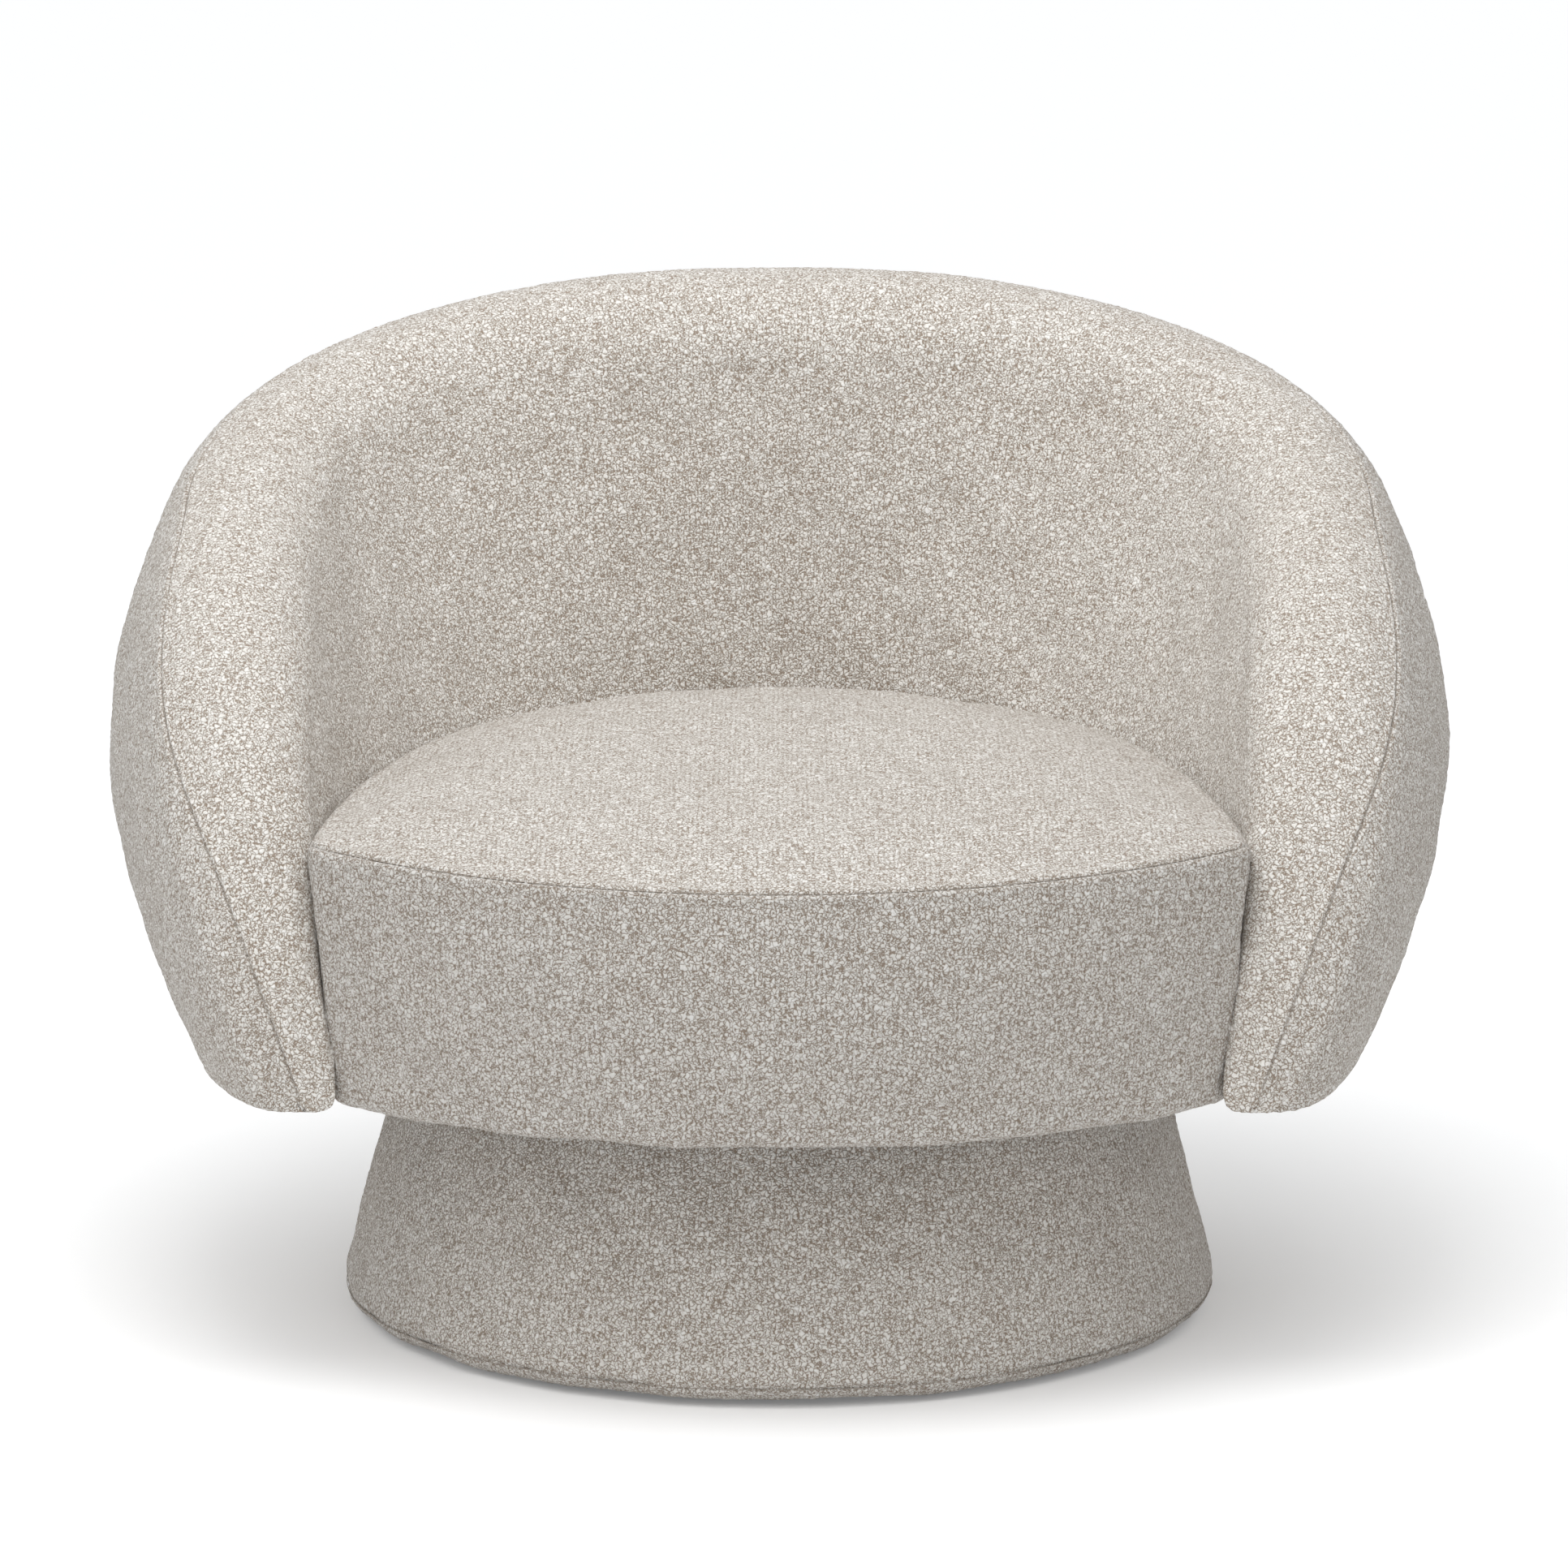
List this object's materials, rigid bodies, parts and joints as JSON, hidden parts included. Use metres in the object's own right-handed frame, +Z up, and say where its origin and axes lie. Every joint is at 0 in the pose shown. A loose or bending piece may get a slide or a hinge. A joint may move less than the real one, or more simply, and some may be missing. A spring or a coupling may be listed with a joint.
{
  "type": "upholstered swivel armchair",
  "caption": "Low tub armchair in nubby off-white loop fabric, with a curved back that runs down into the arms, a crowned seat and a round flared base that it swivels on.",
  "frame": {"origin": "on the floor under the swivel axis, which is the centre of the base and of the chair's plan", "axes": "+Z up along the swivel axis, -Y the way the sitter faces, +X to the right of someone looking at the chair's front"},
  "size_m": [0.9132, 0.756, 0.677],
  "materials": {
    "boucle_cover": "matte",
    "hardboard": "satin",
    "plywood": "satin",
    "foam": "matte",
    "zinc_steel": "satin",
    "nylon": "matte",
    "black_lining": "matte",
    "webbing": "matte"
  },
  "bodies": {
    "base": {"glides": "nylon", "base_dust_cover": "black_lining", "base_bottom_ring": "plywood", "base_ribs": "plywood", "base_top_board": "plywood", "base_shell": "hardboard", "base_padding": "foam", "base_cover": "boucle_cover", "base_hem_band": "boucle_cover", "swivel_lower_plate": "zinc_steel", "swivel_pivot": "zinc_steel", "swivel_pivot_nut": "zinc_steel", "swivel_balls": "zinc_steel", "swivel_ball_cage": "nylon", "base_bolts": "zinc_steel", "base_nuts": "zinc_steel"},
    "seat": {"swivel_upper_plate": "zinc_steel", "seat_bolts": "zinc_steel", "seat_nuts": "zinc_steel", "seat_board": "plywood", "seat_dust_cover": "black_lining", "seat_front_rail": "plywood", "seat_side_rails": "plywood", "seat_rear_rail": "plywood", "seat_webbing_long": "webbing", "seat_webbing_cross": "webbing", "seat_foam": "foam", "seat_front_foam": "foam", "seat_top_cover": "boucle_cover", "seat_border_cover": "boucle_cover", "back_ribs": "plywood", "back_top_rail": "plywood", "back_inner_panel": "hardboard", "back_outer_panel": "hardboard", "back_inner_foam": "foam", "back_outer_foam": "foam", "back_inner_cover": "boucle_cover", "back_outer_cover": "boucle_cover"}
  },
  "joints": [
    {"name": "swivel", "type": "hinge", "parent": "base", "child": "seat", "pos_m": [0, 0, 0.18], "axis": [0, 0, 1], "continuous": true}
  ]
}
